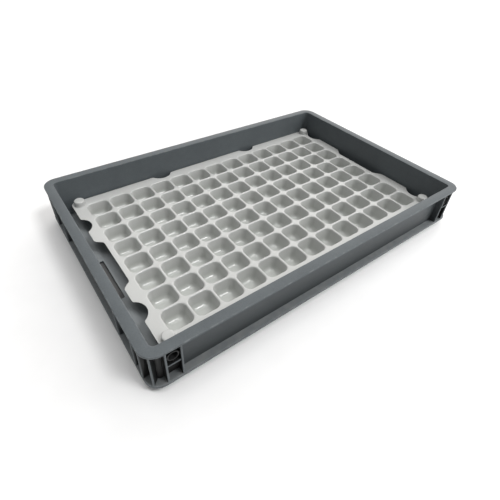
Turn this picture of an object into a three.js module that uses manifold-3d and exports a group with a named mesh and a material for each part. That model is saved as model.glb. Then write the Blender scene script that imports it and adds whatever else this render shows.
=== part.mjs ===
// Low stacking crate with a pocketed insert tray lying in it.
// Millimetres, +Z up, Z = 0 on the ground, origin under the middle of the crate.
// The long side runs along X. The front is -Y.
import * as THREE from "three";
import { mergeVertices } from "three/addons/utils/BufferGeometryUtils.js";
import Module from "manifold-3d";

// ---- Crate: overall
const CRATE_LENGTH = 600;
const CRATE_WIDTH = 400;
const CRATE_HEIGHT = 75;
const RIM_WIDTH = 14.5;
const RIM_THICKNESS = 3;
const RIM_OUTER_RADIUS = 20;
const MOUTH_RADIUS = 7;
const WALL_THICKNESS = 2.2;

// ---- Crate: flange low on the walls, and the foot under it
const FLANGE_SETBACK = 1;
const FLANGE_BOTTOM = 10;
const FLANGE_TOP = 14;
const FOOT_SETBACK = 16.5;
const FOOT_RADIUS = 10;
const FOOT_SIDE_THICKNESS = 2.2;

// ---- Crate: floor
const FLOOR_TOP = 4;
const FLOOR_BOTTOM = 1.5;
const FLOOR_EDGE_CHAMFER = 4;
const FLOOR_RIB = 4;
const FLOOR_BAYS_X = 6;
const FLOOR_BAYS_Y = 4;
const FLOOR_SLOT_LENGTH = 88;
const FLOOR_SLOT_WIDTH = 8;
const FLOOR_SLOT_X = 271;

// ---- Crate: upright ribs of the corner cells, as distances from the corner
const RIB_THICKNESS = 2.5;
const LONG_SIDE_RIBS = [24, 43.5];
const SHORT_SIDE_RIBS = [24, 43.5, 95];
const DIAGONAL_RIB_REACH = 14;

// ---- Crate: ring boss between the two ribs at each end of the long sides
const RING_OUTER_RADIUS = 7.6;
const RING_INNER_RADIUS = 5.8;
const RING_CENTRE_Z = 57;
const RING_SETBACK = 2.5;
const CELL_WEB = 1.6;
const CELL_SHELF_Z = 45.5;

// ---- Insert tray: a thin formed sheet
const SHEET = 1;
const TRAY_LENGTH = 550;
const TRAY_WIDTH = 352;
const TRAY_CORNER_RADIUS = 10;
const RESTING_GAP = 0.3;
const DECK_TOP = 30;

// ---- Insert tray: how it lies, pushed loosely towards the back right corner
const TRAY_SHIFT_X = 7.1;
const TRAY_SHIFT_Y = 7.1;
const TRAY_TURN = THREE.MathUtils.degToRad(0.33);

// ---- Insert tray: pockets
const POCKET_COLUMNS = 13;
const POCKET_ROWS = 8;
const POCKET_PITCH = 39.6;
const POCKET_MOUTH = 35;
const POCKET_CORNER = 8;
const POCKET_DRAFT = 1.1;
const POCKET_FILLET = 7;

// ---- Insert tray: stacking studs and edge notches
const STUD_INSET = 12.5;
const STUD_RADIUS = 9.2;
const STUD_HEIGHT = 10;
const STUD_SHOULDER = 1.6;
const NOTCH_DEPTH = 11.5;
const NOTCH_HALF = 18.5;
const RECESS_EASE = 13;
const FRONT_NOTCHES = [-203, 0, 203];
const BACK_NOTCHES = [-101.5, 101.5];
const LEFT_NOTCHES = [-104, 104];
const RIGHT_NOTCHES = [-140, 140];
const LEFT_RECESS_HALF = 58;
const RIGHT_RECESS_HALF = 61;

const wasm = await Module();
wasm.setup();

// ---- Outlines and solids

// A rectangle with round corners, counter-clockwise from its lower right corner.
function roundedRectangle(halfX, halfY, radius, steps, centre = [0, 0]) {
  const points = [];
  const corners = [
    [1, -1, -Math.PI / 2],
    [1, 1, 0],
    [-1, 1, Math.PI / 2],
    [-1, -1, Math.PI],
  ];
  for (const [signX, signY, start] of corners) {
    for (let i = 0; i <= steps; i++) {
      const angle = start + (Math.PI / 2) * (i / steps);
      const x = centre[0] + signX * (halfX - radius) + radius * Math.cos(angle);
      const y = centre[1] + signY * (halfY - radius) + radius * Math.sin(angle);
      points.push(new THREE.Vector2(x, y));
    }
  }
  return points;
}

// A closed solid through outlines of equal length, listed from the lowest up.
function stackOutlines(levels) {
  const count = levels[0].outline.length;
  const positions = [];
  for (const { outline, z } of levels) {
    for (const point of outline) positions.push(point.x, point.y, z);
  }
  const index = [];
  for (let level = 0; level < levels.length - 1; level++) {
    for (let i = 0; i < count; i++) {
      const a = level * count + i;
      const b = level * count + ((i + 1) % count);
      index.push(a, b, b + count);
      index.push(a, b + count, a + count);
    }
  }
  const top = (levels.length - 1) * count;
  for (const [a, b, c] of THREE.ShapeUtils.triangulateShape(levels[0].outline, [])) {
    index.push(a, c, b);
  }
  for (const [a, b, c] of THREE.ShapeUtils.triangulateShape(levels.at(-1).outline, [])) {
    index.push(top + a, top + b, top + c);
  }
  const geometry = new THREE.BufferGeometry();
  geometry.setAttribute("position", new THREE.Float32BufferAttribute(positions, 3));
  geometry.setIndex(index);
  return geometry;
}

function prism(outline, low, high) {
  return stackOutlines([
    { outline, z: low },
    { outline, z: high },
  ]);
}

function box(lowCorner, highCorner) {
  const size = highCorner.map((high, axis) => high - lowCorner[axis]);
  const middle = highCorner.map((high, axis) => (high + lowCorner[axis]) / 2);
  return new THREE.BoxGeometry(...size).translate(...middle);
}

function toManifold(geometry) {
  const bare = geometry.clone();
  bare.deleteAttribute("normal");
  bare.deleteAttribute("uv");
  const merged = mergeVertices(bare, 1e-4);
  const mesh = new wasm.Mesh({
    numProp: 3,
    vertProperties: new Float32Array(merged.attributes.position.array),
    triVerts: new Uint32Array(merged.index.array),
  });
  return new wasm.Manifold(mesh);
}

function union(geometries) {
  return wasm.Manifold.union(geometries.map(toManifold));
}

function toGeometry(solid) {
  const mesh = solid.getMesh();
  const geometry = new THREE.BufferGeometry();
  geometry.setAttribute("position", new THREE.BufferAttribute(mesh.vertProperties, 3));
  geometry.setIndex(new THREE.BufferAttribute(mesh.triVerts, 1));
  geometry.computeVertexNormals();
  return geometry;
}

// The same solid in all four corners, mirrored across X = 0 and Y = 0.
function inFourCorners(solid) {
  const right = solid.mirror([1, 0, 0]);
  const left = wasm.Manifold.union([solid, right]);
  return wasm.Manifold.union([left, left.mirror([0, 1, 0])]);
}

// ---- Crate

const halfLength = CRATE_LENGTH / 2;
const halfWidth = CRATE_WIDTH / 2;
const mouthX = halfLength - RIM_WIDTH;
const mouthY = halfWidth - RIM_WIDTH;
const wallX = mouthX + WALL_THICKNESS;
const wallY = mouthY + WALL_THICKNESS;
const flangeX = halfLength - FLANGE_SETBACK;
const flangeY = halfWidth - FLANGE_SETBACK;
const footX = halfLength - FOOT_SETBACK;
const footY = halfWidth - FOOT_SETBACK;

function crateShell() {
  const rim = roundedRectangle(halfLength, halfWidth, RIM_OUTER_RADIUS, 6);
  const wall = roundedRectangle(wallX, wallY, MOUTH_RADIUS + WALL_THICKNESS, 3);
  const flange = roundedRectangle(flangeX, flangeY, RIM_OUTER_RADIUS, 6);
  const foot = roundedRectangle(footX, footY, FOOT_RADIUS, 3);
  return union([
    prism(rim, CRATE_HEIGHT - RIM_THICKNESS, CRATE_HEIGHT),
    prism(wall, FLANGE_BOTTOM, CRATE_HEIGHT),
    prism(flange, FLANGE_BOTTOM, FLANGE_TOP),
    prism(foot, 0, FLANGE_TOP),
  ]);
}

function crateHollow() {
  const upper = roundedRectangle(mouthX, mouthY, MOUTH_RADIUS, 3);
  const innerX = footX - FOOT_SIDE_THICKNESS;
  const innerY = footY - FOOT_SIDE_THICKNESS;
  const lower = roundedRectangle(innerX, innerY, FOOT_RADIUS, 3);
  const floorX = innerX - FLOOR_EDGE_CHAMFER;
  const floorY = innerY - FLOOR_EDGE_CHAMFER;
  const floor = roundedRectangle(floorX, floorY, MOUTH_RADIUS, 3);
  const lowerHollow = stackOutlines([
    { outline: floor, z: FLOOR_TOP },
    { outline: lower, z: FLOOR_TOP + FLOOR_EDGE_CHAMFER },
    { outline: lower, z: FLANGE_TOP + 1 },
  ]);
  return union([prism(upper, FLANGE_TOP, CRATE_HEIGHT + 1), lowerHollow]);
}

// Shallow bays under the floor, which leave a grid of ribs to stand on.
function floorBays() {
  const bays = [];
  const bayX = (2 * (footX - FLOOR_RIB)) / FLOOR_BAYS_X;
  const bayY = (2 * (footY - FLOOR_RIB)) / FLOOR_BAYS_Y;
  const inset = FLOOR_RIB / 2;
  for (let i = 0; i < FLOOR_BAYS_X; i++) {
    for (let j = 0; j < FLOOR_BAYS_Y; j++) {
      const x = -footX + FLOOR_RIB + i * bayX;
      const y = -footY + FLOOR_RIB + j * bayY;
      const low = [x + inset, y + inset, -1];
      const high = [x + bayX - inset, y + bayY - inset, FLOOR_BOTTOM];
      bays.push(box(low, high));
    }
  }
  return bays;
}

function floorSlots() {
  return [-1, 1].map((side) => {
    const near = side * FLOOR_SLOT_X - FLOOR_SLOT_WIDTH / 2;
    const halfSlot = FLOOR_SLOT_LENGTH / 2;
    return box([near, -halfSlot, -1], [near + FLOOR_SLOT_WIDTH, halfSlot, FLOOR_TOP + 1]);
  });
}

// Upright ribs of the back right corner, cut off at the flange's outline.
function cornerRibs() {
  const low = FLANGE_TOP - 1;
  const high = CRATE_HEIGHT - 1;
  const halfRib = RIB_THICKNESS / 2;
  const pieces = LONG_SIDE_RIBS.map((fromCorner) => {
    const x = halfLength - fromCorner;
    return box([x - halfRib, wallY - 1, low], [x + halfRib, halfWidth, high]);
  });
  for (const fromCorner of SHORT_SIDE_RIBS) {
    const y = halfWidth - fromCorner;
    pieces.push(box([wallX - 1, y - halfRib, low], [halfLength, y + halfRib, high]));
  }
  const diagonal = box([-2, -halfRib, low], [DIAGONAL_RIB_REACH, halfRib, high]);
  const wallCorner = MOUTH_RADIUS / 2;
  diagonal.rotateZ(Math.PI / 4).translate(wallX - wallCorner, wallY - wallCorner, 0);
  pieces.push(diagonal);
  const column = prism(roundedRectangle(flangeX, flangeY, RIM_OUTER_RADIUS, 6), 0, CRATE_HEIGHT);
  return union(pieces).intersect(toManifold(column));
}

// The ring boss in the back right corner's second cell, with its web and shelf.
function cornerRing() {
  const [first, second] = LONG_SIDE_RIBS.map((fromCorner) => halfLength - fromCorner);
  const centreX = (first + second) / 2;
  const innerY = wallY - 1;
  const outerY = flangeY - RING_SETBACK;
  const middleY = (innerY + outerY) / 2;
  const depth = outerY - innerY;
  const ring = new THREE.CylinderGeometry(RING_OUTER_RADIUS, RING_OUTER_RADIUS, depth, 20);
  const bore = new THREE.CylinderGeometry(RING_INNER_RADIUS, RING_INNER_RADIUS, depth, 20);
  ring.translate(centreX, middleY, RING_CENTRE_Z);
  bore.translate(centreX, middleY + 1.5, RING_CENTRE_Z);
  const webTop = CRATE_HEIGHT - RIM_THICKNESS + 1;
  const web = box(
    [centreX - CELL_WEB / 2, innerY, CELL_SHELF_Z - CELL_WEB / 2],
    [centreX + CELL_WEB / 2, outerY - 1, webTop],
  );
  const shelf = box([second, innerY, CELL_SHELF_Z - CELL_WEB], [first, flangeY, CELL_SHELF_Z]);
  return union([web, shelf, ring]).subtract(toManifold(bore));
}

function buildCrate() {
  const cornerDetail = inFourCorners(cornerRibs().add(cornerRing()));
  const cuts = union([...floorBays(), ...floorSlots()]);
  return crateShell().add(cornerDetail).subtract(crateHollow()).subtract(cuts);
}

// ---- Insert tray

// Edge features are lists of [distance along the edge, distance in from it].
// A notch is a shallow arc whose chord lies on the sheet's edge.
function notchPoints(middle, steps = 6) {
  const radius = (NOTCH_HALF ** 2 + NOTCH_DEPTH ** 2) / (2 * NOTCH_DEPTH);
  const halfAngle = Math.asin(NOTCH_HALF / radius);
  const points = [];
  for (let i = 0; i <= steps; i++) {
    const angle = halfAngle * ((2 * i) / steps - 1);
    const along = middle + radius * Math.sin(angle);
    const inward = NOTCH_DEPTH - radius * (1 - Math.cos(angle));
    points.push([along, Math.max(inward, 0)]);
  }
  return points;
}

// A recess is a long step in the edge with eased ends, half of it on each side of 0.
function recessPoints(half) {
  const end = [
    [half - RECESS_EASE, NOTCH_DEPTH],
    [half - RECESS_EASE / 2, 0.7 * NOTCH_DEPTH],
    [half, 0],
  ];
  const start = end.map(([along, inward]) => [-along, inward]).reverse();
  return [...start, ...end];
}

function notchedEdge(notches, recessHalf) {
  const [first, last] = notches;
  return [...notchPoints(first), ...recessPoints(recessHalf), ...notchPoints(last)];
}

// The sheet's outline, counter-clockwise: right edge, back, left, front.
function trayOutline() {
  const halfX = TRAY_LENGTH / 2;
  const halfY = TRAY_WIDTH / 2;
  const plain = roundedRectangle(halfX, halfY, TRAY_CORNER_RADIUS, 3);
  const corner = (number) => plain.slice(4 * number, 4 * number + 4);
  const right = notchedEdge(RIGHT_NOTCHES, RIGHT_RECESS_HALF);
  const back = BACK_NOTCHES.flatMap((middle) => notchPoints(middle));
  const left = notchedEdge(LEFT_NOTCHES, LEFT_RECESS_HALF);
  const front = FRONT_NOTCHES.flatMap((middle) => notchPoints(middle));
  return [
    ...corner(0),
    ...right.map(([along, inward]) => new THREE.Vector2(halfX - inward, along)),
    ...corner(1),
    ...back.reverse().map(([along, inward]) => new THREE.Vector2(along, halfY - inward)),
    ...corner(2),
    ...left.reverse().map(([along, inward]) => new THREE.Vector2(-halfX + inward, along)),
    ...corner(3),
    ...front.map(([along, inward]) => new THREE.Vector2(along, -halfY + inward)),
  ];
}

// One pocket's surface, grown outwards by a distance, from its floor to mouthZ.
function pocketForm(centre, growth, mouthZ) {
  const half = POCKET_MOUTH / 2 + growth;
  const floorZ = FLOOR_TOP + RESTING_GAP + SHEET - growth;
  const wallHalf = half - POCKET_DRAFT;
  const floorHalf = wallHalf - POCKET_FILLET + growth / 2;
  const ring = (size, corner) => roundedRectangle(size, size, corner, 1, centre);
  return stackOutlines([
    { outline: ring(floorHalf, POCKET_CORNER / 2), z: floorZ },
    { outline: ring(wallHalf, POCKET_CORNER), z: floorZ + POCKET_FILLET },
    { outline: ring(half, POCKET_CORNER), z: mouthZ },
  ]);
}

function pocketCentres() {
  const centres = [];
  for (let row = 0; row < POCKET_ROWS; row++) {
    for (let column = 0; column < POCKET_COLUMNS; column++) {
      const x = (column - (POCKET_COLUMNS - 1) / 2) * POCKET_PITCH;
      const y = (row - (POCKET_ROWS - 1) / 2) * POCKET_PITCH;
      centres.push([x, y]);
    }
  }
  return centres;
}

function studForm(centre, shrink, baseZ) {
  const radius = STUD_RADIUS - shrink;
  const ring = (size) => roundedRectangle(size, size, size * 0.999, 3, centre);
  const topZ = DECK_TOP + STUD_HEIGHT - shrink;
  return stackOutlines([
    { outline: ring(radius), z: baseZ },
    { outline: ring(radius - 0.4), z: topZ - STUD_SHOULDER },
    { outline: ring(radius - STUD_SHOULDER - 0.4), z: topZ },
  ]);
}

function studCentres() {
  const reachX = TRAY_LENGTH / 2 - STUD_INSET;
  const reachY = TRAY_WIDTH / 2 - STUD_INSET;
  const signs = [-1, 1];
  return signs.flatMap((signX) => signs.map((signY) => [signX * reachX, signY * reachY]));
}

function buildTray() {
  const underside = DECK_TOP - SHEET;
  const sheet = toManifold(prism(trayOutline(), underside, DECK_TOP));
  const outer = union([
    ...pocketCentres().map((centre) => pocketForm(centre, SHEET, underside + SHEET / 2)),
    ...studCentres().map((centre) => studForm(centre, 0, underside + SHEET / 2)),
  ]);
  const inner = union([
    ...pocketCentres().map((centre) => pocketForm(centre, 0, DECK_TOP)),
    ...studCentres().map((centre) => studForm(centre, SHEET, underside)),
  ]);
  return sheet.add(outer).subtract(inner);
}

// ---- Scene graph

function mesh(name, solid, material) {
  const piece = new THREE.Mesh(toGeometry(solid), new THREE.MeshStandardMaterial(material));
  piece.name = name;
  return piece;
}

const crate = mesh("crate", buildCrate(), { color: 0x5c6265, roughness: 0.5, metalness: 0 });
const tray = mesh("insert_tray", buildTray(), { color: 0xd2d3d0, roughness: 0.35, metalness: 0 });
tray.position.set(TRAY_SHIFT_X, TRAY_SHIFT_Y, 0);
tray.rotation.z = TRAY_TURN;

const product = new THREE.Group();
product.add(crate, tray);

export default product;
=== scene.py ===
# %% [markdown]
# # A stacking crate with a pocketed insert tray
#
# Two plastic things are made here. The crate is one injection moulding: a thin
# wall that runs round a rounded rectangle, with a wide flat rim, a flange low
# down, a foot to stack on, and ribbed cells at the corners. The insert is one
# sheet of plastic, warmed and sucked down over a mould, so it has soft round
# pockets and a flat deck between them. The measured frame comes first, because
# every size and place below is worked out from it.

# %% Load the frame
import math

import bmesh
import bpy
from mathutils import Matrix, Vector


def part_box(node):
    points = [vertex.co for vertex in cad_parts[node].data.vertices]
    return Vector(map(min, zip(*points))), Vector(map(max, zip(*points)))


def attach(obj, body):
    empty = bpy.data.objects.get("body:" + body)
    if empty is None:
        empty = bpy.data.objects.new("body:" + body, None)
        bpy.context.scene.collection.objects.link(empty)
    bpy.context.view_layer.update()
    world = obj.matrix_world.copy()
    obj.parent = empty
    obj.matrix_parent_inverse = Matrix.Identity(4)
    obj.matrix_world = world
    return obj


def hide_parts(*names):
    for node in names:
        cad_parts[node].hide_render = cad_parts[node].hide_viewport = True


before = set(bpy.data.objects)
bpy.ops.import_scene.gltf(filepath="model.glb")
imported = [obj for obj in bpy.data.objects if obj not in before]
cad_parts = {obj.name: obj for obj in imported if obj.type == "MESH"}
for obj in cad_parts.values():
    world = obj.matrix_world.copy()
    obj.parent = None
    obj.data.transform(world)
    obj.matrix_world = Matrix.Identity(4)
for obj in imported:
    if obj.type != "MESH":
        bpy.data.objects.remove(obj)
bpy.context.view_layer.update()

crate_low, crate_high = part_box("crate")
tray_low, tray_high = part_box("insert_tray")
print("crate", crate_low, crate_high)
print("tray", tray_low, tray_high)

# %% [markdown]
# ## Driving sizes
#
# Blender works in metres, so one named millimetre keeps the numbers readable.
# Only sizes that a drawing of the real thing would carry are written down.

# %% Driving sizes
MM = 0.001

half_length = crate_high[0]
half_width = crate_high[1]
crate_top = crate_high[2]

RIM_WIDTH = 14.5 * MM
RIM_THICKNESS = 3 * MM
WALL_THICKNESS = 2.2 * MM
FLANGE_BOTTOM = 10 * MM
FLANGE_TOP = 14 * MM
FLOOR_TOP = 4 * MM
FLOOR_BOTTOM = 1.5 * MM
RIM_CORNER = 21 * MM  # the rim's outer corner radius; wall and flange share its centre
FOOT_CORNER = 26 * MM  # the same for the foot and floor, whose centre lies further in

mouth_x = half_length - RIM_WIDTH
mouth_y = half_width - RIM_WIDTH
print("opening", round(2 * mouth_x / MM, 1), "x", round(2 * mouth_y / MM, 1), "mm")

# %% [markdown]
# ## Small helpers for edit mode
#
# An operator acts on whatever is selected. These few helpers start a fresh
# piece, select parts of it by place, and finish modifiers, so that each later
# cell reads as the list of moves a person would make by hand.

# %% Helpers
def deselect_all():
    if bpy.context.object and bpy.context.object.mode != "OBJECT":
        bpy.ops.object.mode_set(mode="OBJECT")
    bpy.ops.object.select_all(action="DESELECT")


def use(piece):
    """Make one piece the only selected and active one."""
    deselect_all()
    piece.select_set(True)
    bpy.context.view_layer.objects.active = piece
    return piece


def edit(piece, mode="VERT"):
    use(piece)
    bpy.ops.object.mode_set(mode="EDIT")
    bpy.ops.mesh.select_mode(type=mode)


def leave_edit():
    bpy.ops.object.mode_set(mode="OBJECT")


def pick(piece, kind, test):
    """Select the edit-mode elements whose middle passes the test."""
    bpy.ops.mesh.select_all(action="DESELECT")
    shape = bmesh.from_edit_mesh(piece.data)
    elements = {"vertex": shape.verts, "edge": shape.edges, "face": shape.faces}[kind]
    count = 0
    for element in elements:
        corners = [element] if kind == "vertex" else element.verts
        middle = sum((corner.co for corner in corners), Vector()) / len(corners)
        if test(middle, element):
            element.select_set(True)
            count += 1
    shape.select_flush_mode()
    bmesh.update_edit_mesh(piece.data)
    return count


def settle(piece, name):
    """Name a piece and put its place into its mesh."""
    use(piece)
    piece.name = name
    piece.data.name = name
    bpy.ops.object.transform_apply(location=True, rotation=True, scale=True)
    return piece


def apply_modifier(piece, kind, **settings):
    use(piece)
    modifier = piece.modifiers.new(kind.title(), kind)
    for key, value in settings.items():
        setattr(modifier, key, value)
    bpy.ops.object.modifier_apply(modifier=modifier.name)
    return piece


def repeat(piece, count, step, merge=False):
    """Copy a piece in a row, and weld neighbours where they touch if asked."""
    return apply_modifier(
        piece,
        "ARRAY",
        count=count,
        use_relative_offset=False,
        use_constant_offset=True,
        constant_offset_displace=step,
        use_merge_vertices=merge,
        merge_threshold=0.01 * MM,
    )


def join(pieces, name):
    use(pieces[0])
    for piece in pieces:
        piece.select_set(True)
    bpy.ops.object.join()
    joined = bpy.context.object
    joined.name = name
    joined.data.name = name
    return joined


def triangles(piece):
    return sum(len(face.vertices) - 2 for face in piece.data.polygons)


def size_in_mm(piece):
    return [round(side / MM, 1) for side in piece.dimensions]


def slab(name, low, high, bevel=0.0):
    """A block between two corners, with its edges softened."""
    deselect_all()
    middle = [(a + b) / 2 for a, b in zip(low, high)]
    size = [b - a for a, b in zip(low, high)]
    bpy.ops.mesh.primitive_cube_add(size=1, location=middle, scale=size)
    piece = settle(bpy.context.object, name)
    if bevel:
        edit(piece, "EDGE")
        bpy.ops.mesh.select_all(action="SELECT")
        bpy.ops.mesh.bevel(offset=bevel, segments=2)
        leave_edit()
    return piece


def round_upright_edges(block, radius, segments):
    """Round the edges of a block that stand on end."""
    edit(block, "EDGE")
    pick(block, "edge", lambda middle, edge: abs(edge.verts[0].co.z - edge.verts[1].co.z) > 1 * MM)
    bpy.ops.mesh.bevel(offset=radius, segments=segments)
    leave_edit()


# %% [markdown]
# ## The crate's wall, spun and drawn round
#
# The same section runs all round the crate: foot, flange, wall, rim, and the
# inside face back down to the floor. A boolean of boxes would give it too, but
# then every corner arc would need its own box. A chain of points is drawn
# instead, spun round each corner and pulled along each side, so that all its
# arcs share a centre, as they do in the real mould.
#
# The rim, wall and flange turn their corners tightly. Round the same centre the
# foot and the floor, which lie further in, would have no radius left. So the
# section is drawn as three strips with two corner radii, and the gaps between
# the strips are bridged with faces afterwards.

# %% The wall's section
def arc(centre, radius, start, end, steps):
    """Points on an arc, angles in degrees, as (outward, height) pairs."""
    points = []
    for i in range(steps + 1):
        angle = math.radians(start + (end - start) * i / steps)
        points.append((centre[0] + radius * math.cos(angle), centre[1] + radius * math.sin(angle)))
    return points


# Outward distances are measured from the rim's outer edge, so most are negative.
rim_edge = 0
mouth_edge = rim_edge - RIM_WIDTH
wall_face = mouth_edge + WALL_THICKNESS
flange_edge = rim_edge - 1 * MM
foot_face = rim_edge - 16.5 * MM
foot_inside = foot_face - WALL_THICKNESS
ROUND = 0.8 * MM
STEP_FILLET = 2.0 * MM
FLOOR_FILLET = 5.0 * MM
FOOT_RING = 4 * MM
DRAFT = 0.5 * MM

# the floor's edge and the fillet up to the foot's inside face
basin = arc((foot_inside - FLOOR_FILLET, FLOOR_TOP + FLOOR_FILLET), FLOOR_FILLET, -90, 0, 6)

# out over the step, up the inside, over the rim and round its outer edge
wall = arc((mouth_edge - STEP_FILLET - DRAFT, FLANGE_TOP + 1 * MM), STEP_FILLET, -50, 0, 3)
wall += arc((mouth_edge + ROUND, crate_top - ROUND), ROUND, 180, 90, 3)
wall += arc((rim_edge - ROUND, crate_top - ROUND), ROUND, 90, 0, 3)
wall += arc((rim_edge - 0.4 * MM, crate_top - RIM_THICKNESS + 0.4 * MM), 0.4 * MM, 0, -90, 1)
# back under the rim, down the outer face and out along the flange
wall += arc((wall_face + ROUND, crate_top - RIM_THICKNESS - ROUND), ROUND, 90, 180, 2)
wall += arc((wall_face + ROUND + DRAFT, FLANGE_TOP + ROUND), ROUND, 180, 270, 2)
wall += arc((flange_edge - ROUND, FLANGE_TOP - ROUND), ROUND, 90, 0, 3)
wall += arc((flange_edge - 0.5 * MM, FLANGE_BOTTOM + 0.5 * MM), 0.5 * MM, 0, -90, 1)

# under the flange, down the foot and across what it stands on
foot = arc((foot_face + ROUND, FLANGE_BOTTOM - ROUND), ROUND, 90, 180, 2)
foot += arc((foot_face - ROUND, ROUND), ROUND, 0, -90, 2)
foot += [(foot_face - 2 * FOOT_RING, 0)]
print("section of", len(basin) + len(wall) + len(foot), "points")

# %% Draw a section all round the crate
CORNER_STEPS = 10


def draw_round(section, corner_radius):
    """An open strip: the section spun round each corner and pulled along each side."""
    centre_x = half_length - corner_radius
    centre_y = half_width - corner_radius
    deselect_all()
    bpy.ops.mesh.primitive_plane_add(size=1 * MM, location=(0, 0, 0))
    strip = bpy.context.object
    edit(strip)
    bpy.ops.mesh.select_all(action="SELECT")
    bpy.ops.mesh.merge(type="CENTER")
    first_out, first_height = section[0]
    bpy.ops.transform.translate(value=(centre_x, -half_width - first_out, first_height))
    for (out, height), (next_out, next_height) in zip(section, section[1:]):
        move = (0, out - next_out, next_height - height)
        bpy.ops.mesh.extrude_region_move(TRANSFORM_OT_translate={"value": move})
    bpy.ops.mesh.select_all(action="SELECT")
    corners = [
        ((centre_x, -centre_y, 0), (0, 2 * centre_y, 0)),
        ((centre_x, centre_y, 0), (-2 * centre_x, 0, 0)),
        ((-centre_x, centre_y, 0), (0, -2 * centre_y, 0)),
        ((-centre_x, -centre_y, 0), (2 * centre_x, 0, 0)),
    ]
    for centre, along in corners:
        bpy.ops.mesh.spin(steps=CORNER_STEPS, angle=-math.pi / 2, center=centre, axis=(0, 0, 1))
        bpy.ops.mesh.extrude_edges_move(TRANSFORM_OT_translate={"value": along})
    bpy.ops.mesh.select_all(action="SELECT")
    bpy.ops.mesh.remove_doubles(threshold=0.01 * MM)
    leave_edit()
    return strip


strips = [
    draw_round(basin, FOOT_CORNER),
    draw_round(wall, RIM_CORNER),
    draw_round(foot, FOOT_CORNER),
]
print("faces in the strips:", [len(strip.data.polygons) for strip in strips])
crate = join(strips, "crate_moulding")

# %% Bridge the strips
def open_at(*heights):
    """A test for the open edges that lie at one of these heights."""
    reach = 0.1 * MM

    def test(middle, edge):
        return edge.is_boundary and min(abs(middle.z - height) for height in heights) < reach

    return test


edit(crate, "EDGE")
for heights in ((FLOOR_TOP + FLOOR_FILLET, wall[0][1]), (FLANGE_BOTTOM,)):
    print("edges along the seam:", pick(crate, "edge", open_at(*heights)))
    bpy.ops.mesh.bridge_edge_loops()

# %% Close the floor, above and below
pick(crate, "edge", lambda middle, edge: edge.is_boundary and middle.z > 3 * MM)
bpy.ops.mesh.edge_face_add()
pick(crate, "edge", lambda middle, edge: edge.is_boundary)
bpy.ops.mesh.edge_face_add()
bpy.ops.mesh.select_all(action="SELECT")
bpy.ops.mesh.normals_make_consistent(inside=False)
leave_edit()
crate = settle(crate, "crate_moulding")
print("crate shell:", triangles(crate), "triangles", size_in_mm(crate))

# %% [markdown]
# ## Ribbed corner cells
#
# Low crates are stiffened at the corners, where they are stacked and knocked.
# Thin upright ribs bridge from the flange to the rim, and one cell holds a ring
# with a small web and shelf. One corner is modelled, then copied and mirrored
# into the other three. A mirror turns faces inside out, so the copies have
# their normals worked out again before they are welded to the shell.

# %% Ribs of one corner
RIB = 2.4 * MM
RIB_SETBACK = 1.3 * MM
LONG_SIDE_RIBS = [24 * MM, 43.5 * MM]
SHORT_SIDE_RIBS = [24 * MM, 43.5 * MM, 95 * MM]
EDGE_BEVEL = 0.4 * MM

rib_low = FLANGE_TOP - 1 * MM
rib_high = crate_top - RIM_THICKNESS + 1 * MM
wall_back_x = mouth_x + 1 * MM
wall_back_y = mouth_y + 1 * MM
rib_x = half_length - RIB_SETBACK
rib_y = half_width - RIB_SETBACK

corner_parts = []
for from_corner in LONG_SIDE_RIBS:
    x = half_length - from_corner
    low = (x - RIB / 2, -rib_y, rib_low)
    high = (x + RIB / 2, -wall_back_y, rib_high)
    corner_parts.append(slab("rib", low, high, EDGE_BEVEL))
for from_corner in SHORT_SIDE_RIBS:
    y = from_corner - half_width
    low = (wall_back_x, y - RIB / 2, rib_low)
    high = (rib_x, y + RIB / 2, rib_high)
    corner_parts.append(slab("rib", low, high, EDGE_BEVEL))

centre_x = half_length - RIM_CORNER
centre_y = half_width - RIM_CORNER
corner_centre = (centre_x, -centre_y, 0)
low = (half_length + mouth_edge + 1 * MM, -centre_y - RIB / 2, rib_low)
high = (half_length + flange_edge - 0.5 * MM, -centre_y + RIB / 2, rib_high)
diagonal = slab("rib", low, high, EDGE_BEVEL)
edit(diagonal)
bpy.ops.mesh.select_all(action="SELECT")
bpy.ops.transform.rotate(value=math.radians(45), orient_axis="Z", center_override=corner_centre)
leave_edit()
corner_parts.append(diagonal)
print("ribs at one corner:", len(corner_parts))

# %% The ring, its web and its shelf
RING_RADIUS = 7.6 * MM
RING_WALL = 1.7 * MM
RING_HEIGHT = 57 * MM
RING_SETBACK = 3.5 * MM
CELL_WEB = 1.5 * MM
SHELF_HEIGHT = 45 * MM

ring_x = half_length - sum(LONG_SIDE_RIBS) / 2
ring_front = -(half_width - RING_SETBACK)
ring_depth = -wall_back_y - ring_front
deselect_all()
bpy.ops.mesh.primitive_cylinder_add(
    vertices=40,
    radius=RING_RADIUS,
    depth=ring_depth,
    location=(ring_x, ring_front + ring_depth / 2, RING_HEIGHT),
    rotation=(math.radians(90), 0, 0),
)
ring = settle(bpy.context.object, "ring")
edit(ring, "FACE")
pick(ring, "face", lambda middle, face: face.normal.y < -0.9)
bpy.ops.mesh.inset(thickness=RING_WALL)
bpy.ops.mesh.extrude_region_move(TRANSFORM_OT_translate={"value": (0, ring_depth - 1.5 * MM, 0)})
leave_edit()
sharp = {"limit_method": "ANGLE", "angle_limit": math.radians(50)}
apply_modifier(ring, "BEVEL", width=0.3 * MM, segments=2, **sharp)
corner_parts.append(ring)

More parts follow.
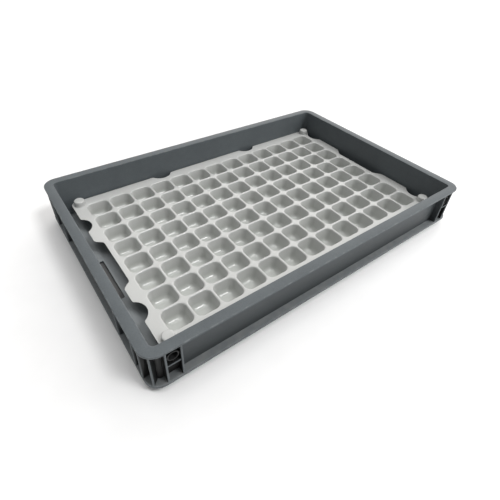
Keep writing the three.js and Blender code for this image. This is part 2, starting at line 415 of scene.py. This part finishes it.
web_low = (ring_x - CELL_WEB / 2, ring_front + 1 * MM, SHELF_HEIGHT - 1 * MM)
web_mid = (ring_x + CELL_WEB / 2, -wall_back_y, RING_HEIGHT - RING_RADIUS + RING_WALL / 2)
corner_parts.append(slab("web", web_low, web_mid, 0.25 * MM))
web_low = (ring_x - CELL_WEB / 2, ring_front + 1 * MM, RING_HEIGHT + RING_RADIUS - RING_WALL / 2)
web_top = (ring_x + CELL_WEB / 2, -wall_back_y, rib_high)
corner_parts.append(slab("web", web_low, web_top, 0.25 * MM))
shelf_low = (half_length - LONG_SIDE_RIBS[1], -rib_y + 0.6 * MM, SHELF_HEIGHT - CELL_WEB)
shelf_high = (half_length - LONG_SIDE_RIBS[0], -wall_back_y, SHELF_HEIGHT)
corner_parts.append(slab("shelf", shelf_low, shelf_high, 0.25 * MM))

# %% Weld a part to a body with an exact boolean
def boolean(body, tool, operation):
    apply_modifier(body, "BOOLEAN", object=tool, operation=operation, solver="EXACT")
    bpy.data.objects.remove(tool, do_unlink=True)


first_part, *other_parts = corner_parts
for part in other_parts:
    boolean(first_part, part, "UNION")
corner = settle(first_part, "corner_cells")
print("one corner:", triangles(corner), "triangles")

# %% Copy the corner into all four places
def mirrored_copy(piece, flip_x, flip_y):
    use(piece)
    bpy.ops.object.duplicate()
    copy = bpy.context.object
    copy.scale = (-1 if flip_x else 1, -1 if flip_y else 1, 1)
    settle(copy, "corner_copy")
    edit(copy)
    bpy.ops.mesh.select_all(action="SELECT")
    bpy.ops.mesh.normals_make_consistent(inside=False)
    leave_edit()
    return copy


copies = [mirrored_copy(corner, *flips) for flips in ((True, False), (False, True), (True, True))]
for piece in [corner, *copies]:
    boolean(crate, piece, "UNION")
print("crate with its cells:", triangles(crate), "triangles")

# %% [markdown]
# ## The floor
#
# The floor is a thin panel. A slot lets water out along each short side, and a
# shallow grid of ribs under it carries the load, so that the crate doesn't rock
# on a panel that has sagged in cooling.

# %% Slots and underside ribs
SLOT_LENGTH = 88 * MM
SLOT_WIDTH = 8 * MM
SLOT_X = 271 * MM
SLOT_CORNER = 2.5 * MM
UNDER_RIB = 4 * MM
BAYS_X = 6
BAYS_Y = 4
BAY_CORNER = 3 * MM

for side in (-1, 1):
    low = (side * SLOT_X - SLOT_WIDTH / 2, -SLOT_LENGTH / 2, -1 * MM)
    high = (side * SLOT_X + SLOT_WIDTH / 2, SLOT_LENGTH / 2, FLOOR_TOP + 1 * MM)
    cutter = slab("slot", low, high)
    round_upright_edges(cutter, SLOT_CORNER, 4)
    boolean(crate, cutter, "DIFFERENCE")
print("slots", SLOT_LENGTH / MM, "x", SLOT_WIDTH / MM, "mm cut")

# %% Hollow out the bays of the underside
FOOT_SETBACK = rim_edge - foot_face
bays_x = half_length - FOOT_SETBACK - FOOT_RING
bays_y = half_width - FOOT_SETBACK - FOOT_RING
bay_x = 2 * bays_x / BAYS_X
bay_y = 2 * bays_y / BAYS_Y
bay_low = (UNDER_RIB / 2 - bays_x, UNDER_RIB / 2 - bays_y, -1 * MM)
bay_high = (bay_x - UNDER_RIB / 2 - bays_x, bay_y - UNDER_RIB / 2 - bays_y, FLOOR_BOTTOM)
bays = slab("bay", bay_low, bay_high)
round_upright_edges(bays, BAY_CORNER, 3)
repeat(bays, BAYS_X, (bay_x, 0, 0))
repeat(bays, BAYS_Y, (0, bay_y, 0))
boolean(crate, bays, "DIFFERENCE")
print("bays cut:", BAYS_X * BAYS_Y)

# %% Finish the crate's shading
use(crate)
bpy.ops.object.shade_smooth_by_angle(angle=math.radians(32))
print("crate moulding:", triangles(crate), "triangles")

# %% [markdown]
# ## The insert: one pocket
#
# A pocket starts as a square the size of the pitch. Its corners are rounded, so
# that four neighbours leave a small flat diamond where the webs cross. The face
# is then extruded again and again, a little smaller and a little lower each
# time: over the rolled edge, down the tapered wall, round the soft fillet that
# stretched plastic always has, and on to the flat bottom.

# %% Pocket sizes
SHEET = 1.0 * MM
TRAY_LENGTH = 550 * MM
TRAY_WIDTH = 352 * MM
STUD_HEIGHT = 10 * MM
COLUMNS = 13
ROWS = 8
PITCH = 39.6 * MM
MOUTH_HALF = 17.6 * MM
CELL_CORNER = 10 * MM
WALL_TAPER = 1.3 * MM
FILLET = 8 * MM
EDGE_ROLL = 2.0 * MM

deck = tray_high[2] - STUD_HEIGHT
pocket_depth = deck - tray_low[2] - SHEET
tray_middle = [(a + b) / 2 for a, b in zip(tray_low, tray_high)]
tray_x = TRAY_LENGTH / 2
tray_y = TRAY_WIDTH / 2
print("pocket depth", round(pocket_depth / MM, 2), "mm")

# %% Model one pocket
def sink_rings(rings, half):
    """Draw the selected outline through (half size, drop) rings and close the last."""
    bpy.ops.mesh.delete(type="ONLY_FACE")
    bpy.ops.mesh.select_mode(type="EDGE")
    bpy.ops.mesh.select_all(action="SELECT")
    last_drop = 0.0
    for new_half, drop in rings:
        bpy.ops.mesh.extrude_edges_move(TRANSFORM_OT_translate={"value": (0, 0, last_drop - drop)})
        scale = new_half / half
        bpy.ops.transform.resize(value=(scale, scale, 1), center_override=(0, 0, 0))
        half = new_half
        last_drop = drop
    bpy.ops.mesh.edge_face_add()


pocket_rings = []
for degrees in (18, 38, 60, 82):
    angle = math.radians(degrees)
    across = MOUTH_HALF + EDGE_ROLL * (1 - math.sin(angle))
    pocket_rings.append((across, EDGE_ROLL * (1 - math.cos(angle))))
wall_foot = MOUTH_HALF - WALL_TAPER
for degrees in (0, 18, 36, 54, 72, 90):
    angle = math.radians(degrees)
    across = wall_foot - FILLET * (1 - math.cos(angle))
    pocket_rings.append((across, pocket_depth - FILLET * (1 - math.sin(angle))))

deselect_all()
bpy.ops.mesh.primitive_plane_add(size=PITCH, location=(0, 0, 0))
pockets = bpy.context.object
edit(pockets)
bpy.ops.mesh.select_all(action="SELECT")
bpy.ops.mesh.bevel(offset=CELL_CORNER, segments=6, affect="VERTICES")
bpy.ops.mesh.select_all(action="SELECT")
sink_rings(pocket_rings, PITCH / 2)
leave_edit()
print("one pocket:", triangles(pockets), "triangles")

# %% Repeat it in rows and columns, and close the crossings
repeat(pockets, COLUMNS, (PITCH, 0, 0), merge=True)
repeat(pockets, ROWS, (0, PITCH, 0), merge=True)
CROSSING_SIDES = 28
edit(pockets, "EDGE")
pick(pockets, "edge", lambda middle, edge: edge.is_boundary)
bpy.ops.mesh.fill_holes(sides=CROSSING_SIDES)
bpy.ops.mesh.select_all(action="SELECT")
shift_x = -(COLUMNS - 1) / 2 * PITCH
shift_y = -(ROWS - 1) / 2 * PITCH
bpy.ops.transform.translate(value=(shift_x, shift_y, deck))
leave_edit()
print("all pockets:", triangles(pockets), "triangles")

# %% [markdown]
# ## The insert: studs, outline and deck
#
# Four round studs locate the next insert when they are stacked. The outline is
# cut from a plain slab with round cutters, because that is how the trimming
# tool works: a notch is a bite out of a straight edge. Only the slab's top
# outline is kept, and one fill joins it to the pockets and the studs.

# %% Studs
STUD_INSET = 12.5 * MM
STUD_RADIUS = 9.2 * MM
STUD_FOOT = 10.8 * MM

deselect_all()
bpy.ops.mesh.primitive_circle_add(
    vertices=36, radius=STUD_FOOT, fill_type="NGON", location=(0, 0, 0)
)
stud = bpy.context.object
edit(stud, "FACE")
bpy.ops.mesh.select_all(action="SELECT")
stud_rings = [
    (STUD_RADIUS + 1.0 * MM, -0.15 * MM),
    (STUD_RADIUS + 0.5 * MM, -0.5 * MM),
    (STUD_RADIUS + 0.1 * MM, -1.2 * MM),
    (STUD_RADIUS - 0.1 * MM, -2.2 * MM),
    (STUD_RADIUS - 0.4 * MM, -7.6 * MM),
    (STUD_RADIUS - 0.7 * MM, -8.6 * MM),
    (STUD_RADIUS - 1.3 * MM, -9.4 * MM),
    (STUD_RADIUS - 2.2 * MM, -9.85 * MM),
    (STUD_RADIUS - 3.6 * MM, -STUD_HEIGHT),
]
sink_rings(stud_rings, STUD_FOOT)
leave_edit()

studs = []
for sign_x in (-1, 1):
    for sign_y in (-1, 1):
        use(stud)
        bpy.ops.object.duplicate()
        copy = bpy.context.object
        copy.location = (sign_x * (tray_x - STUD_INSET), sign_y * (tray_y - STUD_INSET), deck)
        studs.append(settle(copy, "stud"))
bpy.data.objects.remove(stud, do_unlink=True)
print("studs:", len(studs))

# %% The trimmed outline
NOTCH_DEPTH = 11.5 * MM
NOTCH_HALF = 18.5 * MM
OUTLINE_CORNER = 10 * MM
LIP_ROUND = 3 * MM
notch_radius = (NOTCH_HALF**2 + NOTCH_DEPTH**2) / (2 * NOTCH_DEPTH)
notch_reach = notch_radius - NOTCH_DEPTH
FRONT_NOTCHES = [-203 * MM, 0, 203 * MM]
BACK_NOTCHES = [-101.5 * MM, 101.5 * MM]
LEFT_NOTCHES = [-104 * MM, 104 * MM]
RIGHT_NOTCHES = [-140 * MM, 140 * MM]

low = (-tray_x, -tray_y, deck - 5 * MM)
high = (tray_x, tray_y, deck)
outline = slab("outline", low, high)
round_upright_edges(outline, OUTLINE_CORNER, 8)

bites = [(x, -tray_y - notch_reach) for x in FRONT_NOTCHES]
bites += [(x, tray_y + notch_reach) for x in BACK_NOTCHES]
bites += [(-tray_x - notch_reach, y) for y in LEFT_NOTCHES]
bites += [(tray_x + notch_reach, y) for y in RIGHT_NOTCHES]
for x, y in bites:
    deselect_all()
    bpy.ops.mesh.primitive_cylinder_add(
        vertices=72, radius=notch_radius, depth=20 * MM, location=(x, y, deck)
    )
    boolean(outline, settle(bpy.context.object, "bite"), "DIFFERENCE")

# each long recess, as its side and its half length at the inner face and at the edge
recesses = [(-1, 48.3 * MM, 57.5 * MM), (1, 47 * MM, 61 * MM)]
for side, inner_half, edge_half in recesses:
    inner = side * (tray_x - NOTCH_DEPTH)
    outer = side * (tray_x + NOTCH_DEPTH)
    low = (min(inner, outer), -inner_half, deck - 10 * MM)
    high = (max(inner, outer), inner_half, deck + 10 * MM)
    cutter = slab("recess", low, high)
    edit(cutter, "FACE")
    pick(cutter, "face", lambda middle, face: face.normal.x * side > 0.9)
    widen = (2 * edge_half - inner_half) / inner_half
    bpy.ops.transform.resize(value=(1, widen, 1), center_override=(outer, 0, deck))
    leave_edit()
    boolean(outline, cutter, "DIFFERENCE")
print("bites:", len(bites), "recesses:", len(recesses))

# %% Keep only the top outline, with its sharp lips rounded
edit(outline, "FACE")
pick(outline, "face", lambda middle, face: face.normal.z < 0.9)
bpy.ops.mesh.delete(type="FACE")
bpy.ops.mesh.select_all(action="SELECT")
bpy.ops.mesh.dissolve_limited(angle_limit=math.radians(1))
bpy.ops.mesh.select_mode(type="VERT")


def is_lip(place, vertex):
    return len(vertex.link_edges) == 2 and vertex.calc_edge_angle() > math.radians(20)


print("lips:", pick(outline, "vertex", is_lip))
bpy.ops.mesh.bevel(offset=LIP_ROUND, segments=4, affect="VERTICES")
bpy.ops.mesh.select_all(action="SELECT")
bpy.ops.mesh.delete(type="ONLY_FACE")
leave_edit()

# %% Join, fill the deck and give the sheet its thickness
tray = join([pockets, *studs, outline], "pocket_sheet")
edit(tray, "EDGE")
pick(tray, "edge", lambda middle, edge: edge.is_boundary or not edge.link_faces)
bpy.ops.mesh.fill()
bpy.ops.mesh.select_all(action="SELECT")
bpy.ops.mesh.normals_make_consistent(inside=False)
leave_edit()
facing_up = sum(1 for face in tray.data.polygons if face.normal.z > 0.5)
print("faces:", len(tray.data.polygons), "facing up:", facing_up)
apply_modifier(tray, "SOLIDIFY", thickness=SHEET, offset=-1)
use(tray)
bpy.ops.object.shade_smooth_by_angle(angle=math.radians(40))

# %% Lay it in the crate, pushed loosely towards the back right corner
TRAY_TURN = math.radians(0.33)
tray.location = (tray_middle[0], tray_middle[1], 0)
tray.rotation_euler = (0, 0, TRAY_TURN)
settle(tray, "pocket_sheet")
print("tray:", triangles(tray), "triangles", size_in_mm(tray))

# %% Hang the new pieces on the root body and hide the frame nodes they replace
for piece, node, slot in ((crate, "crate", "crate_plastic"), (tray, "insert_tray", "tray_plastic")):
    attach(piece, "root")
    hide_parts(node)

# %% [markdown]
# ## Arithmetic for shaders
#
# A finish is a sum of small effects, and wiring each Math node by hand hides
# that sum. This class wraps a socket, so that a line of Python reads as the
# formula and adds the nodes by itself. Every other kind of node comes from one
# method, which is given the type, the settings and what the sockets hold.

# %% A socket that can be added and multiplied
class Signal:
    """A socket of a node tree, which arithmetic turns into Math nodes."""

    def __init__(self, tree, socket=None):
        self.tree = tree
        self.socket = socket

    def node(self, kind, settings, inputs, output=0):
        """Add a node and return one of its outputs."""
        made = self.tree.nodes.new("ShaderNode" + kind)
        for key, value in settings.items():
            setattr(made, key, value)
        for key, value in inputs.items():
            if isinstance(value, Signal):
                self.tree.links.new(value.socket, made.inputs[key])
            else:
                made.inputs[key].default_value = value
        return Signal(self.tree, made.outputs[output]) if made.outputs else made

    def math(self, operation, *values):
        return self.node("Math", {"operation": operation}, dict(enumerate(values)))

    def __add__(self, other):
        return self.math("ADD", self, other)

    def __radd__(self, other):
        return self.math("ADD", other, self)

    def __sub__(self, other):
        return self.math("SUBTRACT", self, other)

    def __rsub__(self, other):
        return self.math("SUBTRACT", other, self)

    def __mul__(self, other):
        return self.math("MULTIPLY", self, other)

    def __rmul__(self, other):
        return self.math("MULTIPLY", other, self)

    def __pow__(self, other):
        return self.math("POWER", self, other)

    def __abs__(self):
        return self.math("ABSOLUTE", self)

    def at_least(self, other):
        return self.math("MAXIMUM", self, other)

    def between(self, low, high):
        """0 below low, 1 above high, and a smooth rise from one to the other."""
        inputs = {"Value": self, "From Min": low, "From Max": high}
        return self.node("MapRange", {"interpolation_type": "SMOOTHSTEP"}, inputs)

    def blend(self, first, second):
        """A colour that goes from first to second as this signal goes from 0 to 1."""
        inputs = {0: self, 6: first, 7: second}  # 6 and 7 are the Mix node's two colours
        return self.node("Mix", {"data_type": "RGBA"}, inputs, output=2)


# %% Where a point of the surface is, in millimetres
def place_in_mm(signal):
    """The object coordinates scaled to millimetres, whole and as x, y and z."""
    corner = signal.node("TexCoord", {}, {}, output="Object")
    whole = signal.node("VectorMath", {"operation": "SCALE"}, {0: corner, "Scale": 1 / MM})
    parts = [signal.node("SeparateXYZ", {}, {0: whole}, output=axis) for axis in "XYZ"]
    return whole, parts


def stretched_noise(place, stretch, scale, detail=2.0, output="Fac"):
    """Noise that is drawn out along an axis where its stretch is small."""
    inputs = {"Vector": place, "Scale": stretch}
    mapped = place.node("Mapping", {"vector_type": "POINT"}, inputs)
    inputs = {"Vector": mapped, "Scale": scale, "Detail": detail}
    return place.node("TexNoise", {}, inputs, output=output)


def start_material(name):
    material = bpy.data.materials.new(name)
    material.use_nodes = True
    tree = material.node_tree
    tree.nodes.clear()
    return material, Signal(tree)


def finish_material(signal, inputs):
    """Close the tree with one Principled shader."""
    shader = signal.node("BsdfPrincipled", {}, inputs)
    signal.node("OutputMaterial", {}, {"Surface": shader})


def coat_with(piece, material):
    piece.data.materials.clear()
    piece.data.materials.append(material)
    count = len(material.node_tree.nodes)
    print(piece.name, "is finished in", material.name, "with", count, "nodes")


# %% [markdown]
# ## The crate's finish
#
# The crate is slate-grey polypropylene with the fine matt texture of an etched
# mould. Several things break up the even grey: slow flow marks from filling the
# mould, fine rub marks that run round the walls, pale scuffs along the edges
# that get knocked, and pale patches on upward faces low down, partly dust and
# partly painted light. The flange top and the inner floor are lifted with painted
# light. The recess under the rim carries painted shade, darker lower down, and
# the corner cells carry near-black painted shade.
# The distance out from the rim's edge, with the height, says where on the
# section a point is, so one formula finds every edge all the way round.

# %% Slate polypropylene: how far out a point is, and its noises
wall_out = wall_face / MM
floor_z = FLOOR_TOP / MM
flange_z = FLANGE_TOP / MM
under_rim_z = (crate_top - RIM_THICKNESS) / MM
last_rib_x = (half_length - LONG_SIDE_RIBS[1]) / MM
last_rib_y = (half_width - SHORT_SIDE_RIBS[1]) / MM

slate, signal = start_material("slate_polypropylene")
place, (x, y, z) = place_in_mm(signal)
past_x = (abs(x) - centre_x / MM).at_least(0)
past_y = (abs(y) - centre_y / MM).at_least(0)
out = (past_x * past_x + past_y * past_y) ** 0.5 - RIM_CORNER / MM

flow = stretched_noise(place, (1, 1, 0.35), 0.018)
grain = stretched_noise(place, (1, 1, 1), 1.6, detail=3)
rub = stretched_noise(place, (0.06, 0.06, 1), 0.9, detail=4)
patches = stretched_noise(place, (1, 1, 1), 0.11, detail=5)
print("outer wall face at", round(wall_out, 1), "mm, flange at", round(flange_z, 1), "mm")

# %% Slate polypropylene: its knocked edges, corner cells, and dust with painted light
def edge_mask(outward, height, reach):
    """1 on the edge that runs round the section at this place, 0 beyond its reach."""
    across = out - outward / MM
    up = z - height / MM
    distance = (across * across + up * up) ** 0.5
    return 1 - distance.between(0.4 * reach, reach)


edges = edge_mask(rim_edge, crate_top, 1.6)
edges = edges.at_least(edge_mask(mouth_edge, crate_top, 1.3))
edges = edges.at_least(edge_mask(flange_edge, FLANGE_TOP, 1.8))
scuffs = edges * patches.between(0.46, 0.66)
x_end = abs(x).between(last_rib_x - 1, last_rib_x + 0.5)
y_end = abs(y).between(last_rib_y - 1, last_rib_y + 0.5)
facing_up = signal.node("NewGeometry", {}, {}, output="Normal")
facing_up = signal.node("SeparateXYZ", {}, {0: facing_up}, output="Z").between(0.6, 0.95)
# pale patches on upward faces low down: partly dust, partly painted light that lifts those dim
# faces
dust_and_light = facing_up * (1 - z.between(flange_z + 4, flange_z + 20)) * patches.between(0.3, 0.75)
print("corner cells start at x", round(last_rib_x, 1), "and y", round(last_rib_y, 1), "mm")

# %% Slate polypropylene: colours, each laid over the last
speckle = stretched_noise(place, (1, 1, 1), 0.55, detail=3)
tone = 0.94 + 0.12 * flow + 0.05 * (rub - 0.5) + 0.04 * (grain - 0.5)
tone = tone + 0.16 * (speckle - 0.5) + 0.08 * (patches - 0.5)
slate_colour = (0.108, 0.123, 0.131, 1)
deep_colour = (0.080, 0.091, 0.098, 1)
# painted shade for the recess under the rim
shade_colour = (0.026, 0.030, 0.032, 1)
# near-black painted shade for the corner cells
painted_cell_shade_colour = (0.004, 0.004, 0.004, 1)
worn_colour = (0.20, 0.21, 0.215, 1)
# dust colour, also used as painted light on dim upward faces
dust_and_light_colour = (0.23, 0.23, 0.22, 1)
# painted light for the inner floor
painted_floor_light_colour = (0.275, 0.292, 0.300, 1)
# painted light for the top of the flange
painted_flange_light_colour = (0.225, 0.245, 0.252, 1)
colour = tone.between(0.90, 1.10).blend(deep_colour, slate_colour)

# painted shade in the recess between flange and rim, as far out as just behind the ribs' front
# edges, darker lower down
painted_recess_shade = out.between(wall_out - 0.6, wall_out - 0.1) * (1 - out.between(-3.2, -2.2))
painted_recess_shade = painted_recess_shade * z.between(flange_z - 1, flange_z + 1)
painted_recess_shade = painted_recess_shade * (1 - z.between(under_rim_z - 0.5, under_rim_z + 0.5))
in_cells = x_end * y_end
low_down = 1 - z.between(flange_z + 2, under_rim_z - 6)
colour = (painted_recess_shade * (0.4 + 0.45 * low_down)).blend(colour, shade_colour)
# near-black painted shade in the corner cells
colour = (0.95 * painted_recess_shade * in_cells).blend(colour, painted_cell_shade_colour)

# painted light on the top of the flange, then dust with painted light, painted light on the inner
# floor, and the scuffs
painted_flange_light = facing_up * out.between(wall_out + 0.3, wall_out + 1.3)
painted_flange_light = painted_flange_light * z.between(flange_z - 2, flange_z - 1) * (1 - z.between(flange_z + 1, flange_z + 3))
colour = (0.4 * painted_flange_light).blend(colour, painted_flange_light_colour)
colour = (0.35 * dust_and_light).blend(colour, dust_and_light_colour)
# painted light that lifts the dim inner floor
painted_floor_light = (1 - z.between(floor_z + 2, floor_z + 7)) * z.between(floor_z - 1.5, floor_z - 0.5)
colour = (0.9 * painted_floor_light).blend(colour, painted_floor_light_colour)
colour = (0.45 * scuffs).blend(colour, worn_colour)
print("nodes in the colour:", len(slate.node_tree.nodes))

# %% Slate polypropylene: gloss and grain
roughness = 0.46 + 0.10 * (patches - 0.5) + 0.08 * (rub - 0.5) + 0.12 * scuffs + 0.10 * dust_and_light
height = grain + 0.5 * rub
normal = signal.node("Bump", {}, {"Strength": 0.16, "Distance": 0.08 * MM, "Height": height})
inputs = {"Base Color": colour, "Roughness": roughness, "Specular IOR Level": 0.3, "Normal": normal}
finish_material(signal, inputs)
coat_with(crate, slate)

# %% [markdown]
# ## The insert's finish
#
# The insert is a pale sheet with a smooth, slightly waxy face. Down in the
# pockets it carries painted shade, a touch darker towards their bottoms. The
# surface has the soft waviness of a formed sheet, not a grain.

# %% Pale formed sheet
pale, signal = start_material("pale_formed_sheet")
place, (x, y, z) = place_in_mm(signal)
# painted shade: 0 on the deck, rising to 1 at the pocket bottoms
stretch = 1 - z.between(tray_low[2] / MM, deck / MM)
mottle = stretched_noise(place, (1, 1, 1), 0.05, detail=3)
waviness = stretched_noise(place, (1, 1, 1), 0.16)
peel = stretched_noise(place, (1, 1, 1), 0.9, detail=3)

sheet_colour = (0.490, 0.496, 0.484, 1)
# painted shade colour for deep in the pockets
painted_pocket_shade_colour = (0.455, 0.468, 0.447, 1)
depth = 0.9 * stretch + 0.25 * (mottle - 0.5) + 0.30 * (peel - 0.5)
colour = depth.between(0, 1).blend(sheet_colour, painted_pocket_shade_colour)
roughness = 0.23 + 0.10 * (mottle - 0.5) + 0.08 * (peel - 0.5)
height = waviness + 0.15 * peel
normal = signal.node("Bump", {}, {"Strength": 0.15, "Distance": 0.25 * MM, "Height": height})
inputs = {"Base Color": colour, "Roughness": roughness, "IOR": 1.55, "Normal": normal}
finish_material(signal, inputs)
coat_with(tray, pale)

# %% [markdown]
# ## The studio floor
#
# A plain near-white floor runs out far past the crate, so that the camera, which
# looks down, sees nothing else behind it. It is darker right under the crate,
# where no light gets in, so that the floor slots read as dark holes.

# %% Floor
STUDIO_REACH = 14  # metres, far past the view
JUST_BELOW = (0, 0, -0.2 * MM)
deselect_all()
bpy.ops.mesh.primitive_circle_add(
    vertices=96, radius=STUDIO_REACH, fill_type="NGON", location=JUST_BELOW
)
floor = settle(bpy.context.object, "studio_floor")
paper, signal = start_material("floor_paper")
place, (x, y, z) = place_in_mm(signal)
fibre = stretched_noise(place, (1, 1, 1), 0.02)
# painted shade on the floor right under the crate
painted_under_shade = 1 - abs(x).between(half_length / MM - 30, half_length / MM - 16)
painted_under_shade = painted_under_shade * (1 - abs(y).between(half_width / MM - 30, half_width / MM - 16))
colour = fibre.between(0.2, 0.8).blend((0.86, 0.86, 0.86, 1), (0.88, 0.88, 0.88, 1))
colour = painted_under_shade.blend(colour, (0.10, 0.10, 0.10, 1))
finish_material(signal, {"Base Color": colour, "Roughness": 0.9, "Specular IOR Level": 0.2})
coat_with(floor, paper)

# %% [markdown]
# ## Light
#
# Three lights and a sky do the work of a small product studio. The key comes
# from the front right and above, where it draws a bright line along the far
# fillet of each pocket. The top light reaches down into the narrow gap beside
# the insert. A box light at the front right lifts that end of the front wall. The
# sky is brighter towards the back right, because a rim that is seen at a flat
# angle mirrors the sky behind it.

# %% Light
def aim(light, target):
    """Turn a light so that it shines from its place towards the target."""
    back = light.location - Vector(target)
    light.rotation_euler = back.to_track_quat("Z", "Y").to_euler()


def soft_light(name, direction, spread, strength):
    """A broad, far light: the spread is the angle it fills, seen from the crate."""
    bpy.ops.object.light_add(type="SUN", location=direction)
    light = bpy.context.object
    light.name = name
    light.data.angle = math.radians(spread)
    light.data.energy = strength
    aim(light, (0, 0, 0))
    print(name, "from", direction, "spread over", spread, "degrees")


deselect_all()
soft_light("key_light", (0.30, -0.47, 0.83), 16, 1.38)
soft_light("top_light", (-0.05, 0.05, 1.0), 34, 0.95)

bpy.ops.object.light_add(type="AREA", location=(0.75, -0.70, 0.42))
side_light = bpy.context.object
side_light.name = "side_light"
side_light.data.size = 0.5
side_light.data.energy = 3.2
aim(side_light, (0.25, -0.1, 0.04))
print("side_light", round(side_light.location.length, 2), "m away")

# %% Sky
SKY_SIDE = (0.72, 0.60, 0.35)  # the sky is brighter towards here
world = bpy.data.worlds.new("studio")
bpy.context.scene.world = world
world.use_nodes = True
world.node_tree.nodes.clear()
signal = Signal(world.node_tree)
direction = signal.node("TexCoord", {}, {}, output="Generated")
inputs = {0: direction, 1: SKY_SIDE}
side = signal.node("VectorMath", {"operation": "DOT_PRODUCT"}, inputs, output="Value")
strength = 0.21 + 0.56 * side.between(-0.4, 0.95) + 1.25 * side.between(0.75, 1)
colour = side.between(0, 0.9).blend((1, 1, 1, 1), (1, 0.975, 0.95, 1))
sky = signal.node("Background", {}, {"Color": colour, "Strength": strength})
signal.node("OutputWorld", {}, {"Surface": sky})
bpy.context.scene.view_settings.view_transform = "Standard"
print("sky brightest towards", SKY_SIDE)

# %% [markdown]
# ## The camera
#
# The camera stands off the front left corner, close by and about as high as the
# crate is wide, and looks down into it. Its short lens draws the near corner
# large.

# %% Camera
CAMERA_PLACE = (-0.34731, -0.41916, 0.43206)
CAMERA_TURN = (50.383, -2.601, -36.381)
LENS = 27.256
SHIFT = (-0.0002, -0.0479)
deselect_all()
turn = [math.radians(degrees) for degrees in CAMERA_TURN]
bpy.ops.object.camera_add(location=CAMERA_PLACE, rotation=turn)
camera = bpy.context.object
camera.data.lens = LENS
camera.data.shift_x, camera.data.shift_y = SHIFT
camera.data.clip_start = 10 * MM
bpy.context.scene.camera = camera
print("camera", round(camera.location.length, 3), "m from the origin")
